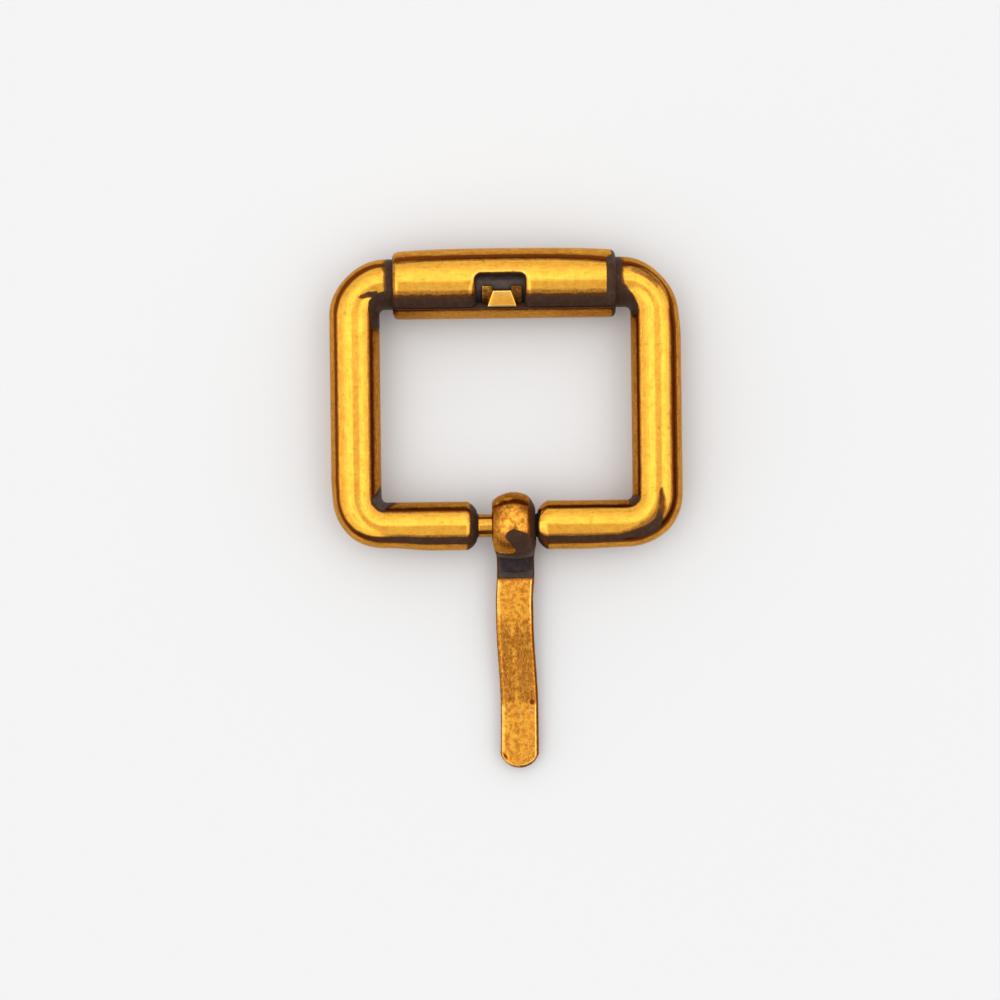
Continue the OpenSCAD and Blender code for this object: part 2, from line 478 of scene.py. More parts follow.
# Brown on the wire, partly where polish misses and partly painted dark reflection and shade, and a painted
# grey sheen on the bar's crest under the roller
UNDER_ROLLER_LENGTH = 9.0
CREST_SHEEN = 1.2
CREST_SHEEN_TURN = (80, 92, 100, 120)
CREST_TURN = 90
INNER_SIDE = 1.12
OUTER_SIDE = 0.71
SHADE_ALONG = (9.4, 10.2, 11.3, 12.2)
SHADE_FACING = (0.6, 0.7, 0.91, 0.97)
NECK_SHADE = ((0.0, 0.0), (0.2, 0.4))
BESIDE_BAND = ((0.8, 1.5), (2.3, 0.0))
TAIL_BLACKEST = 0.8
STREAK_BROWN = 1.5


def frame_flank(path, turn, facing_up, half):
    """Brown on the wire's sides, partly unpolished and partly painted dark reflection, painted shade beside
    the top bend's crest and on the neck, and brown beside the band and in the streak.

    The band has brown on the crest's side, and its tail, which is less black, on both. Under the roller it
    lays a painted grey sheen on the bar's crest.
    """
    if path < UNDER_ROLLER_LENGTH:
        return CREST_SHEEN * within(CREST_SHEEN_TURN, turn)
    if turn > CREST_TURN:
        side = flank_tone(facing_up, half.inner_deepest, INNER_SIDE)
    else:
        in_bend = sin(pi * min(max((path - TOP_BEND_AT) / (SIDE_AT - TOP_BEND_AT), 0.0), 1.0))
        deepest_at = through(low_bend_turn(path), half.outer_deepest) + half.deepest_in_bend * in_bend
        side = flank_tone(facing_up, deepest_at, OUTER_SIDE, half.line + half.line_in_bend * in_bend)
        side = max(side, half.shade * within(SHADE_ALONG, path) * within(SHADE_FACING, facing_up))
    neck = through(path - NECK_AT, NECK_SHADE)
    from_band, band_black = black_band(path, turn, half)
    browned = from_band > 0 or band_black < TAIL_BLACKEST
    beside_band = through(abs(from_band), BESIDE_BAND) if browned else 0.0
    streak = STREAK_BROWN * half.streak * bend_streak(path, turn)
    return max(side, neck, beside_band, streak)


def make_frame(material):
    skin = Skin()
    rings = []
    for station in wire_path():
        half = RIGHT if station.path > 0 else LEFT
        path = abs(station.path)
        inset = through(path, half.inset)
        outward_x, outward_y = -sin(station.heading), cos(station.heading)
        ring = []
        for k in range(RING_COUNT):
            around = 2 * pi * k / RING_COUNT
            facing_out, facing_up = cos(around), sin(around)
            out = station.radius * facing_out - inset * max(facing_out, 0.0)
            up = station.radius * facing_up + station.crest * max(facing_up, 0.0) ** CREST_POWER
            place = (station.x + out * outward_x, station.y + out * outward_y, up)
            turn = degrees(acos(facing_out))
            patina_and_shade = frame_patina(path, turn, half)
            flank_and_painted_light = frame_flank(path, turn, facing_up, half)
            ring.append(skin.point(place, (station.path, out, up), patina_and_shade, flank_and_painted_light))
        rings.append(ring)
    for ring, next_ring in zip(rings, rings[1:]):
        skin.faces += quads(closed(ring), closed(next_ring))
    skin.faces += [tuple(rings[0]), tuple(rings[-1])]
    return skin.build("wire_frame", material)


# Roller: a flat pattern of sheet, rolled up

# Places that agree to these parts of a millimetre and a radian are one point
PARTS_OF_MM = 1e4
PARTS_OF_RADIAN = 1e5


class Sheet:
    """A flat pattern whose points are (along the roller, angle round it), rolled to two radii."""

    def __init__(self):
        self.places = []
        self.index = {}
        self.faces = []

    def point(self, x, angle):
        key = (round(x * PARTS_OF_MM), round(angle * PARTS_OF_RADIAN))
        if key not in self.index:
            self.index[key] = len(self.places)
            self.places.append((x, angle))
        return self.index[key]

    def strips(self, rows):
        for row, next_row in zip(rows, rows[1:]):
            self.faces += quads(row, next_row)

    def grid(self, columns, rows):
        for x, next_x in zip(columns, columns[1:]):
            for angle, next_angle in zip(rows, rows[1:]):
                corners = ((x, angle), (next_x, angle), (next_x, next_angle), (x, next_angle))
                self.faces.append(tuple(self.point(*corner) for corner in corners))

    def roll(self, skin, outer, inner_r, patina_and_shade, flank_and_painted_light):
        """Adds a closed shell to the skin, between the outer face and the inner radius."""
        def rolled(x, angle, radius, black, brown):
            y = radius * sin(angle)
            z = radius * cos(angle)
            return skin.point((x, BAR_PITCH + y, z), (x, y, z), black, brown)

        top = [rolled(*place, outer(*place), patina_and_shade(*place), flank_and_painted_light(*place)) for place in self.places]
        under = [rolled(*place, inner_r, 1.0, 1.0) for place in self.places]
        edges = []
        for face in self.faces:
            skin.faces.append(tuple(top[i] for i in face))
            skin.faces.append(tuple(under[i] for i in reversed(face)))
            edges += zip(face, closed(face)[1:])
        both_ways = set(edges)
        for i, j in edges:
            if (j, i) not in both_ways:
                skin.faces.append((top[j], top[i], under[i], under[j]))


def seam_distance(angle):
    """Distance along the sheet from the nearer of the two edges that meet in the seam."""
    return min(angle - SEAM_UPPER, SEAM_LOWER - angle) * ROLLER_R


def notch_distance(x, angle):
    """Distance along the sheet from the notch's edge."""
    across = abs(x - NOTCH_X) - (NOTCH_HALF - NOTCH_CORNER)
    up = (angle - NOTCH_TOP) * ROLLER_R + NOTCH_CORNER
    if across > 0 and up > 0:
        return hypot(across, up) - NOTCH_CORNER
    return max(across, up) - NOTCH_CORNER


TAPER_POWER = 3
TAPER_FACING = (0.3, 0.9)


def roller_taper(x, angle):
    """How far the roller's back draws in towards its ends."""
    return ROLLER_TAPER * abs(x / ROLLER_HALF) ** TAPER_POWER * smoothstep(*TAPER_FACING, sin(angle))


# The notch's lip, by degrees round the roller: its flare on the -X side, and its width
LIP_FLARE = ((-14, 0.5), (2, 0.0))
LIP_WIDTH = ((3, 1.0), (12, 0.5))
FLARE_SOFT = 0.1


def roller_outer(x, angle):
    """Radius of the roller's outer face: rounded at its ends, at the notch and along the seam."""
    turn = degrees(angle)
    on_left = 1.0 - past(NOTCH_X - NOTCH_HALF, FLARE_SOFT, x)
    lip = NOTCH_LIP * (1.0 + on_left * through(turn, LIP_FLARE)) * through(turn, LIP_WIDTH)
    notch = rounded(notch_distance(x, angle), lip)
    end = rounded(min(ROLLER_RIGHT - x, x - ROLLER_LEFT), ROLLER_EDGE)
    seam = rounded(seam_distance(angle), SEAM_ROUND)
    return ROLLER_R - max(end, notch, seam) - roller_taper(x, angle)


# Black on the roller. The ring at its +X end is wider where the face looks up
RING_WIDTH = ((0.55, 0.3), (0.8, 0.76))
RING_SOFT = 0.1
EDGE_BLACK = ((0.0, 1.0), (0.12, 0.0))
ABOVE_SEAM_BLACK = ((-31, 0.75), (-17, 0.0))
# The notch's wall is painted black as its shadow
WALL_SHADOW = ((0.02, 1.0), (0.14, 0.0))


def roller_patina(x, angle):
    """Black at both ends, widest on the +X crest, along the seam and above it, and a painted shadow on the
    notch's wall.
    """
    ring = 1.0 - past(through(cos(angle), RING_WIDTH), RING_SOFT, ROLLER_RIGHT - x)
    other_end = through(x - ROLLER_LEFT, EDGE_BLACK)
    seam = through(seam_distance(angle), EDGE_BLACK)
    above_seam = through(degrees(angle), ABOVE_SEAM_BLACK)
    wall = through(notch_distance(x, angle), WALL_SHADOW)
    return max(ring, other_end, seam, above_seam, wall)


# Brown on the roller, partly where polish misses and partly painted dark reflection, and a painted highlight
# along the middle of the notch's lip
LEAN_STEP = 0.02
ROLLER_DEEPEST = ((-8.4, 0.66), (-4.0, 0.71))
ROLLER_LINE = 0.02
BACK_SIDE = 0.6
LOW_SIDE = 0.9
BACK_TURN = 90
END_BROWN = ((0.1, 1.2), (0.42, 0.0))
ABOVE_SEAM_BROWN = ((-25, 1.5), (-9, 0.0))
BELOW_SEAM_BROWN = ((250, 0.0), (275, 1.0))
BELOW_SEAM_ALONG = ((-6.6, 1.25), (-5.6, 0.95), (3.6, 0.95), (4.8, 1.25))
LIP_MIDDLE = 0.24
LIP_HIGHLIGHT = ((0.06, 0.25), (0.2, 0.0))


def roller_flank(x, angle):
    """Brown on the roller's sides, at its -X end and along the seam, partly a painted dark reflection. A
    highlight is painted along the notch's top lip.
    """
    turn = degrees(angle)
    rise = roller_taper(x, angle + LEAN_STEP) - roller_taper(x, angle - LEAN_STEP)
    lean = rise / (2 * LEAN_STEP * ROLLER_R)
    deepest_at = through(x, ROLLER_DEEPEST)
    side_brown = BACK_SIDE if turn < BACK_TURN else LOW_SIDE
    side = flank_tone(cos(angle + lean), deepest_at, side_brown, ROLLER_LINE)
    end = through(x - ROLLER_LEFT, END_BROWN)
    below_seam = through(turn, BELOW_SEAM_BROWN) * through(x, BELOW_SEAM_ALONG)
    brown = max(side, end, through(turn, ABOVE_SEAM_BROWN), below_seam)
    # A painted highlight along the middle of the notch's top lip
    if turn > 0:
        brown -= through(abs(notch_distance(x, angle) - LIP_MIDDLE), LIP_HIGHLIGHT)
    return brown


# A patch round the notch, in which spokes run out from its edge by these shares of their length
PATCH_MARGIN = 0.9
PATCH_HALF = NOTCH_HALF + PATCH_MARGIN
PATCH_LEFT = NOTCH_X - PATCH_HALF
PATCH_RIGHT = NOTCH_X + PATCH_HALF
PATCH_TOP = NOTCH_TOP + PATCH_MARGIN / ROLLER_R
SPOKE_STEPS = (0.0, 0.02, 0.06, 0.11, 0.17, 0.24, 0.32, 0.45, 0.7, 1.0)

# Lengths along the notch's edge: a side, a corner and half of the top
NOTCH_RISE = (NOTCH_TOP - SEAM_UPPER) * ROLLER_R - NOTCH_CORNER
NOTCH_ARC = NOTCH_CORNER * QUARTER
NOTCH_INNER = NOTCH_HALF - NOTCH_CORNER


def notch_outline(at):
    """Point on the notch's edge, at a length along it from the seam on its -X side."""
    middle = NOTCH_RISE + NOTCH_ARC + NOTCH_INNER
    side = -1 if at < middle else 1
    from_seam = middle - abs(at - middle)
    if from_seam <= NOTCH_RISE:
        across = NOTCH_HALF
        up = from_seam
    elif from_seam <= NOTCH_RISE + NOTCH_ARC:
        turn = (from_seam - NOTCH_RISE) / NOTCH_CORNER
        across = NOTCH_INNER + NOTCH_CORNER * cos(turn)
        up = NOTCH_RISE + NOTCH_CORNER * sin(turn)
    else:
        across = middle - from_seam
        up = NOTCH_RISE + NOTCH_CORNER
    return NOTCH_X + side * across, SEAM_UPPER + up / ROLLER_R


def facing_notch(x, angle):
    """The point on the notch's edge that faces a place on the patch's rim."""
    side = NOTCH_RISE + NOTCH_ARC / 2
    top = 2 * NOTCH_INNER + NOTCH_ARC
    climb = side * (angle - SEAM_UPPER) / (PATCH_TOP - SEAM_UPPER)
    if angle >= PATCH_TOP:
        return notch_outline(side + top * (x - PATCH_LEFT) / (2 * PATCH_HALF))
    return notch_outline(climb if x < NOTCH_X else 2 * side + top - climb)


# Rows and columns of the pattern
SEAM_STEPS = 4
END_STEPS = 9
PATCH_ROWS = 24
BACK_ROWS = 90
SIDE_COLUMNS = 30
PATCH_COLUMNS = 26


def roller_sheet():
    """The roller's pattern: a grid, and the patch of spokes round the notch."""
    sheet = Sheet()
    seam_steps = [step / ROLLER_R for step in round_steps(SEAM_ROUND, SEAM_STEPS)]
    low_rows = [SEAM_UPPER + step for step in seam_steps]
    low_rows += spread(low_rows[-1], PATCH_TOP, PATCH_ROWS)[1:]
    high_rows = spread(PATCH_TOP, SEAM_LOWER - seam_steps[-1], BACK_ROWS)
    high_rows += [SEAM_LOWER - step for step in reversed(seam_steps[:-1])]
    end_steps = round_steps(ROLLER_EDGE, END_STEPS)
    left = [ROLLER_LEFT + step for step in end_steps]
    left += spread(left[-1], PATCH_LEFT, SIDE_COLUMNS)[1:]
    middle = spread(PATCH_LEFT, PATCH_RIGHT, PATCH_COLUMNS)
    right = spread(PATCH_RIGHT, ROLLER_RIGHT - ROLLER_EDGE, SIDE_COLUMNS)
    right += [ROLLER_RIGHT - step for step in reversed(end_steps[:-1])]
    for columns in (left, right):
        sheet.grid(columns, low_rows + high_rows[1:])
    sheet.grid(middle, high_rows)

    rim = [(PATCH_LEFT, angle) for angle in low_rows]
    rim += [(x, PATCH_TOP) for x in middle[1:]]
    rim += [(PATCH_RIGHT, angle) for angle in reversed(low_rows[:-1])]
    spokes = []
    for x, angle in rim:
        edge_x, edge_angle = facing_notch(x, angle)
        spokes.append([sheet.point(lerp(edge_x, x, t), lerp(edge_angle, angle, t)) for t in SPOKE_STEPS])
    for spoke, next_spoke in zip(spokes, spokes[1:]):
        sheet.faces += [(b, a, next_a, next_b) for a, b, next_b, next_a in quads(spoke, next_spoke)]
    return sheet


# Lock tab: a plate, two fingers and a raised tongue, all standing in the notch
TAB_X = -0.22
TAB_BASE_R = ROLLER_BORE + 0.02
TAB_FOOT = radians(-52.0)
PLATE_BROWN = ((0.0, 1.0),)
FINGER_TOP = radians(-8.4)
FINGER_OUT = 1.6
FINGER_IN = 0.72
# Brown up the fingers, with a painted highlight at their feet
FINGER_BROWN_AND_HIGHLIGHT = ((0.0, -0.8), (0.12, 0.8), (0.6, 0.8), (1.0, 0.6))
TONGUE_FOOT = radians(-47.0)
TONGUE_TOP = radians(-17.8)
TONGUE_FOOT_HALF = 1.2
TONGUE_TOP_HALF = 0.73
# Painted highlights along the tongue's foot and on its upper part
TONGUE_HIGHLIGHT = ((0.0, -1.2), (0.1, -0.8), (0.2, 0.0), (0.4, -0.1), (0.7, -0.25), (1.0, -0.4))
TONGUE_TILT = radians(14)

# A block of the tab runs from foot to top round the roller, between the lowest and highest x at each. rise is
# its height above the bore, edge its rounding, and brown goes by shares of the way up; below zero it lays a
# painted highlight. A tilted face is flat
Block = namedtuple("Block", "foot top at_foot at_top rise edge black brown tilt", defaults=(None,))
PLATE_SIDES = (-FINGER_OUT, FINGER_OUT)
LEFT_SIDES = (-FINGER_OUT, -FINGER_IN)
RIGHT_SIDES = (FINGER_IN, FINGER_OUT)
LEFT_FINGER = Block(
    TONGUE_FOOT, FINGER_TOP, LEFT_SIDES, LEFT_SIDES,
    rise=0.3, edge=0.1, black=0.28, brown=FINGER_BROWN_AND_HIGHLIGHT,
)
TAB = (
    Block(
        TAB_FOOT, TONGUE_TOP, PLATE_SIDES, PLATE_SIDES,
        rise=0.2, edge=0.06, black=0.8, brown=PLATE_BROWN,
    ),
    LEFT_FINGER,
    LEFT_FINGER._replace(at_foot=RIGHT_SIDES, at_top=RIGHT_SIDES, black=0.42),
    Block(
        TONGUE_FOOT, TONGUE_TOP, (-TONGUE_FOOT_HALF, TONGUE_FOOT_HALF), (-TONGUE_TOP_HALF, TONGUE_TOP_HALF),
        rise=0.36, edge=0.13, black=0.0, brown=TONGUE_HIGHLIGHT, tilt=TONGUE_TILT,
    ),
)
# Steps at each rounded edge of a block, and between its edges
BLOCK_ROWS = (4, 10)
BLOCK_COLUMNS = (4, 8)


def add_block(skin, block):
    """Adds one rounded block, which stands on the roller's inside."""
    top_r = ROLLER_BORE + block.rise

    def from_foot(angle):
        return (angle - block.foot) / (block.top - block.foot)

    def sides(angle):
        t = from_foot(angle)
        return [TAB_X + lerp(foot, top, t) for foot, top in zip(block.at_foot, block.at_top)]

    def outer(x, angle):
        low, high = sides(angle)
        to_end = min(abs(block.top - angle), abs(angle - block.foot)) * top_r
        face_r = top_r
        if block.tilt is not None:
            face_r = min(top_r * cos(block.top + block.tilt) / cos(angle + block.tilt), ROLLER_R)
        return face_r - rounded(min(x - low, high - x, to_end), block.edge)

    def black(_, angle):
        return block.black

    def brown(_, angle):
        return through(from_foot(angle), block.brown)

    sheet = Sheet()
    rows = []
    for angle in edged(block.foot, block.top, block.edge / ROLLER_BORE, *BLOCK_ROWS):
        rows.append([sheet.point(x, angle) for x in edged(*sides(angle), block.edge, *BLOCK_COLUMNS)])
    sheet.strips(rows)
    sheet.roll(skin, outer, TAB_BASE_R, black, brown)


def make_roller(material):
    skin = Skin()
    roller_sheet().roll(skin, roller_outer, ROLLER_BORE, roller_patina, roller_flank)
    for block in TAB:
        add_block(skin, block)
    return skin.build("sheet_roller", material)


# Prong: sections along the strip, from the free end of the curl round the neck to the tip

# Steps at each rounded edge of the strip, and between its edges
STRIP_COLUMNS = (5, 40)

# Marks on the prong: millimetres across it, along it, half width, half length, and how strong. On the eye the
# length runs down from its crest, and on the shank away from the hinge
EYE_SMUDGES = (
    (0.85, -1.45, 0.6, 0.55, 1.2), (-1.3, -0.9, 0.5, 1.1, 1.1), (0.7, -0.4, 0.4, 0.35, 0.9),
    (-0.35, -1.55, 0.6, 0.35, 0.9), (-0.85, 0.05, 0.5, 0.35, 0.8),
)
# Painted highlights on the eye's back
EYE_HIGHLIGHTS = ((-0.38, -2.45, 0.5, 0.3, 1.5), (-1.25, -2.3, 0.3, 0.3, 1.1))
NICKS = ((1.0, 14.2, 0.38, 0.4, 1.4), (-1.18, 18.95, 0.36, 0.36, 1.3))
# Painted highlights on the tip's bend
BEND_HIGHLIGHTS = ((0.95, 14.84, 0.45, 0.18, 0.5), (-0.05, 15.0, 0.35, 0.6, 0.22), (-1.12, 14.8, 0.18, 0.35, 0.35))
NICK_DEPTH = 0.05
MARK_EDGE = ((0.2, 1.0), (1.0, 0.0))


def strongest(across, down, marks):
    """How strong the strongest mark is here."""
    strength = 0.0
    for mark_across, mark_down, half_width, half_length, most in marks:
        distance = hypot((across - mark_across) / half_width, (down - mark_down) / half_length)
        strength = max(strength, most * through(distance, MARK_EDGE))
    return strength


CHAMFER_X = 1.2
CHAMFER_SLOPE = 0.9
CHAMFER_SOFT = 0.08


def eye_drop(x):
    """How far the eye's face has dropped: by its crown, and on its +X side past an edge that wear has
    chamfered.
    """
    crown = EYE_CROWN - sqrt(EYE_CROWN * EYE_CROWN - x * x)
    chamfer = soft_ramp(x - CHAMFER_X, CHAMFER_SOFT) - soft_ramp(-CHAMFER_X, CHAMFER_SOFT)
    return crown + CHAMFER_SLOPE * chamfer


# The curl narrows to the shank's width towards its free end, moves to +X and loses its crown
CURL_NARROWS = (215, 275)
CURL_END_SET = 0.12
CURL_END_CROWN = 0.35


def curl_section(skin, turn):
    """One section through the curl, at a turn round the neck from below it."""
    to_end = smoothstep(*CURL_NARROWS, degrees(turn))
    half = lerp(EYE_W, SHANK_W, to_end) / 2
    offset = EYE_X + CURL_END_SET * to_end
    inside, outside = [], []
    for x in edged(-half, half, EYE_EDGE, *STRIP_COLUMNS):
        edge = rounded(half - abs(x), EYE_EDGE)
        outer_r = EYE_R - lerp(1.0, CURL_END_CROWN, to_end) * eye_drop(x) - edge
        patina_and_shade, flank_and_painted_light = eye_tones(x, turn)
        for row, radius, black in ((inside, EYE_BORE + edge, 1.0), (outside, outer_r, patina_and_shade)):
            place = (offset + x, radius * sin(turn), -radius * cos(turn))
            straight = (x, radius - EYE_BORE, -turn * EYE_R)
            row.append(skin.point(place, straight, black, flank_and_painted_light))
    return inside, outside


CUT_AT = (0.25, 0.75)


def softened(outline, rounds):
    """Cuts the corners of a closed outline, at these shares of its sides, which makes it round."""
    for _ in range(rounds):
        cut = []
        for (x0, y0), (x1, y1) in zip(outline, closed(outline)[1:]):
            for t in CUT_AT:
                cut.append((lerp(x0, x1, t), lerp(y0, y1, t)))
        outline = cut
    return outline


def outline_distance(x, y, outline):
    """Distance from a closed outline, less than zero inside it."""
    nearest = inf
    inside = False
    for (x0, y0), (x1, y1) in zip(outline, closed(outline)[1:]):
        along_x, along_y = x1 - x0, y1 - y0
        t = ((x - x0) * along_x + (y - y0) * along_y) / (along_x * along_x + along_y * along_y)
        t = min(max(t, 0.0), 1.0)
        nearest = min(nearest, hypot(x - x0 - t * along_x, y - y0 - t * along_y))
        if (y0 > y) != (y1 > y) and x < x0 + (y - y0) / along_y * along_x:
            inside = not inside
    return -nearest if inside else nearest


# Edge of the black splash on the eye: millimetres across it, degrees below its crest
SPLASH = (
    (0.04, 6), (0.3, 8), (0.65, 11), (0.95, 14), (1.2, 20), (1.25, 60), (1.25, 112), (-1.35, 112), (-1.3, 62),
    (-0.5, 59), (0.02, 56), (0.2, 47), (-0.08, 37), (-0.38, 29), (-0.62, 25), (-0.68, 18), (-0.52, 11),
    (-0.2, 7),
)
SPLASH_ROUNDS = 3
DEGREE_ON_EYE = 0.046
SPLASH_EDGE = softened([(across, below * DEGREE_ON_EYE) for across, below in SPLASH], SPLASH_ROUNDS)

# Tones of the eye, by distance from the splash, by millimetres across it or by degrees below its crest
EYE_CREST = 180
SPLASH_BLACK = ((-0.1, 0.85), (0.1, 0.0))
EYE_SIDE_BLACK = ((1.2, 0.0), (1.34, 0.85))
EYE_END_BLACK = ((60, 0.0), (68, 1.0))
EYE_EDGE_BROWN = ((-1.5, 0.8), (-1.0, 0.0), (0.95, 0.0), (1.15, 1.3))
EYE_BACK_BROWN = 0.25
EYE_BACK_DEEPEST = 0.70
EYE_BACK_SIDE = 1.0
EYE_FRONT_BROWN = ((2, 0.2), (28, 1.1))
# A highlight painted along the splash's edge, low on the front
RIM_HIGHLIGHT = (0.05, 0.09, 0.1, 0.2)
RIM_HIGHLIGHT_BELOW = ((36, 0.0), (44, 1.2))
SMEAR_X = 0.1
SMEAR_ACROSS = ((0.1, 0.9), (0.4, 0.0))
SMEAR_BELOW = (-4, 4, 12, 20)


def eye_tones(across, turn):
    """Black and brown on the eye.

    It is black on its +X side, in a splash below its crest and at its free end, and brown at its edges, on
    its back, partly as a painted dark reflection, down its front, in a smear at the splash's top and in
    smudges.
    Highlights are painted in spots on its back and along the splash's edge low on its front.
    """
    below = degrees(turn) - EYE_CREST
    down = below * DEGREE_ON_EYE
    from_splash = outline_distance(across, down, SPLASH_EDGE)
    black = max(
        through(from_splash, SPLASH_BLACK), through(across, EYE_SIDE_BLACK), through(below, EYE_END_BLACK),
    )
    if below < 0:
        face = EYE_BACK_BROWN + flank_tone(cos(turn), EYE_BACK_DEEPEST, EYE_BACK_SIDE)
        face -= strongest(across, down, EYE_HIGHLIGHTS)
    else:
        face = through(below, EYE_FRONT_BROWN)
        face -= within(RIM_HIGHLIGHT, from_splash) * through(below, RIM_HIGHLIGHT_BELOW)
    smear = through(abs(across - SMEAR_X), SMEAR_ACROSS) * within(SMEAR_BELOW, below)
    return black, max(face, through(across, EYE_EDGE_BROWN), smear, strongest(across, down, EYE_SMUDGES))


# Faces of the strip past the curl: distance from the hinge axis, height and how soft it bends there
UPPER_FACE = (
    (0.0, -EYE_BORE, 0.0),
    (3.62, -EYE_BORE, 0.06),
    (HEEL, -0.66, 0.08),
    (SHANK_BEND, -0.72, 0.9),
    (TIP_BEND, FLOOR_Z + TIP_T, 0.16),
    (REACH, FLOOR_Z + TIP_T, 0.0),
)
LOWER_FACE = (
    (0.0, -EYE_R, 0.0),
    (2.6, -EYE_R, 0.6),
    (HEEL, -2.12, 0.6),
    (SHANK_BEND, -2.17, 0.9),
    (TIP_BEND, FLOOR_Z + 0.01, 0.2),
    (REACH, FLOOR_Z + 0.01, 0.0),
)
# How far it is set to +X, and its half width, by distance from the hinge axis
SIDEWAYS_SET = (
    (0.0, 0.06), (3.6, 0.12), (6.2, -0.01), (7.6, 0.0),
    (14.6, 0.3), (REACH, 0.27),
)
HALF_WIDTH = (
    (0.0, EYE_W / 2), (1.2, EYE_W / 2), (2.7, SHANK_W / 2), (12.0, SHANK_W / 2),
    (REACH, 1.53),
)
# The eye's crown runs out at the heel, and a pocket with a raised rim lies before it
CROWN_ENDS = ((1.6, 1.0), (HEEL, 0.0))
POCKET = (0.8, 2.0, 3.55, HEEL)
POCKET_RIM = ((1.0, 0.0), (1.38, 0.3))
TIP_BOW_L = 2.4
# The hidden face has less black and at least this much brown
UNDERSIDE_BLACK = 0.6
UNDERSIDE_BROWN = 0.6


def shank_section(skin, along):
    """One section through the strip, at a distance from the hinge axis. At the tip it is bowed to an arc."""
    half = through(along, HALF_WIDTH)
    offset = EYE_X + through(along, SIDEWAYS_SET)
    upper = bent_line(along, UPPER_FACE)
    lower = bent_line(along, LOWER_FACE)
    bow = smoothstep(REACH - TIP_BOW_L, REACH, along)
    pocket = within(POCKET, along)
    from_tip = max(SHANK_EDGE - (REACH - along), 0.0)
    top_row, low_row = [], []
    for x in edged(-half, half, SHANK_EDGE, *STRIP_COLUMNS):
        from_side = max(SHANK_EDGE - (half - abs(x)), 0.0)
        inward = SHANK_EDGE - min(hypot(from_side, from_tip), SHANK_EDGE)
        drop = rounded(inward, SHANK_EDGE)
        y = bow * (TIP_R - sqrt(max(TIP_R * TIP_R - x * x, 0.0))) - along
        nick = NICK_DEPTH * strongest(x, along, NICKS)
        top = upper - drop + through(abs(x), POCKET_RIM) * pocket - nick
        low = lower + drop + through(along, CROWN_ENDS) * eye_drop(x)
        if along < HEEL:
            black, brown = heel_tones(x, along, pocket)
        else:
            black, brown = shank_tones(x, along, inward / SHANK_EDGE)
        top_row.append(skin.point((offset + x, y, top), (x, 0.0, along), black, brown))
        black *= UNDERSIDE_BLACK
        brown = max(brown, UNDERSIDE_BROWN)
        low_row.append(skin.point((offset + x, y, low), (x, TIP_T, along), black, brown))
    return top_row, low_row


# Tones of the heel. Its black is partly dark tarnish and partly painted shade under the curl. Brown lays a
# painted grey sheen on the ramp that ends the pocket and on the pocket's walls
HEEL_BLACK = ((-0.06, 1.0), (0.04, 0.0))
HEEL_BLACK_ACROSS = ((1.38, 1.0), (1.48, 0.3))
RAMP_START = 3.72
RAMP_CURVE = 0.16
RAMP_SOFT = 0.16
WALL_SHEEN = ((0.98, 0.0), (1.12, 1.0))
RIGHT_WALL_SHARE = 0.4


def heel_black(across, along):
    return through(along - HEEL, HEEL_BLACK) * through(abs(across), HEEL_BLACK_ACROSS)


def heel_tones(across, along, pocket):
    """Black, partly painted shade under the curl, and brown that lays a painted grey sheen, on the strip
    before its heel.
    """
    ramp_start = RAMP_START - RAMP_CURVE * across * across
    ramp = smoothstep(ramp_start, ramp_start + RAMP_SOFT, along)
    wall = through(abs(across), WALL_SHEEN) * pocket * (1.0 if across < 0 else RIGHT_WALL_SHARE)
    return heel_black(across, along), max(ramp, wall)


# Tones of the shank. A share of the edge's rounding is brown, and past it a highlight is painted along the
# edge. The stretch between the bends is dull, with a rubbed line along it, and highlights are painted on the
# tip's bend
SIDE_SHARE_LEFT = 0.3
SIDE_SHARE_RIGHT = 0.62
SIDE_BROWN = ((-0.2, 1.5), (0.06, 0.0))
HEEL_LINE = ((0.06, 1.5), (0.22, 0.0))
DULL_ALONG = (6.2, 9.4, 13.9, 14.5)
DULL_ACROSS = ((-0.4, 0.84), (0.2, 0.78))
RUBBED_X = -0.2
DULL_RUBBED = ((0.05, 0.4), (0.3, 1.0))
EDGE_HIGHLIGHT = (0.0, 0.12, 0.2, 0.36)
LESS_HIGHLIGHT = (7.2, 8.2, 14.0, 14.6)
HIGHLIGHT_LOSS = 0.8
HIGHLIGHT_BY_SIDE = ((0.2, 1.0), (0.6, 0.0))
NICK_BROWN = 1.5


def shank_tones(across, along, inward):
    """Black, brown and painted highlights on the shank. inward runs from 0 at its side to 1 where its edge
    turns to the face.
    """
    past_side = inward - (SIDE_SHARE_RIGHT if across > 0 else SIDE_SHARE_LEFT)
    side = through(past_side, SIDE_BROWN)
    heel_line = through(along - HEEL, HEEL_LINE)
    dull = within(DULL_ALONG, along) * through(across, DULL_ACROSS)
    dull *= through(abs(across - RUBBED_X), DULL_RUBBED)
    highlight = within(EDGE_HIGHLIGHT, past_side) * through(side, HIGHLIGHT_BY_SIDE)
    highlight *= 1.0 - HIGHLIGHT_LOSS * within(LESS_HIGHLIGHT, along)
    brown = max(side, dull, heel_line, NICK_BROWN * strongest(across, along, NICKS))
    return heel_black(across, along), brown - max(highlight, strongest(across, along, BEND_HIGHLIGHTS))


# Sections: round the curl, along the strip to each place in so many steps, and round the tip
CURL_STEPS = 200
SHANK_STEPS = (
    (3.3, 14), (HEEL + 0.3, 16), (TIP_BEND - 0.6, 70), (TIP_BEND + 0.6, 14),
    (REACH - SHANK_EDGE, 36),
)
TIP_STEPS = 6


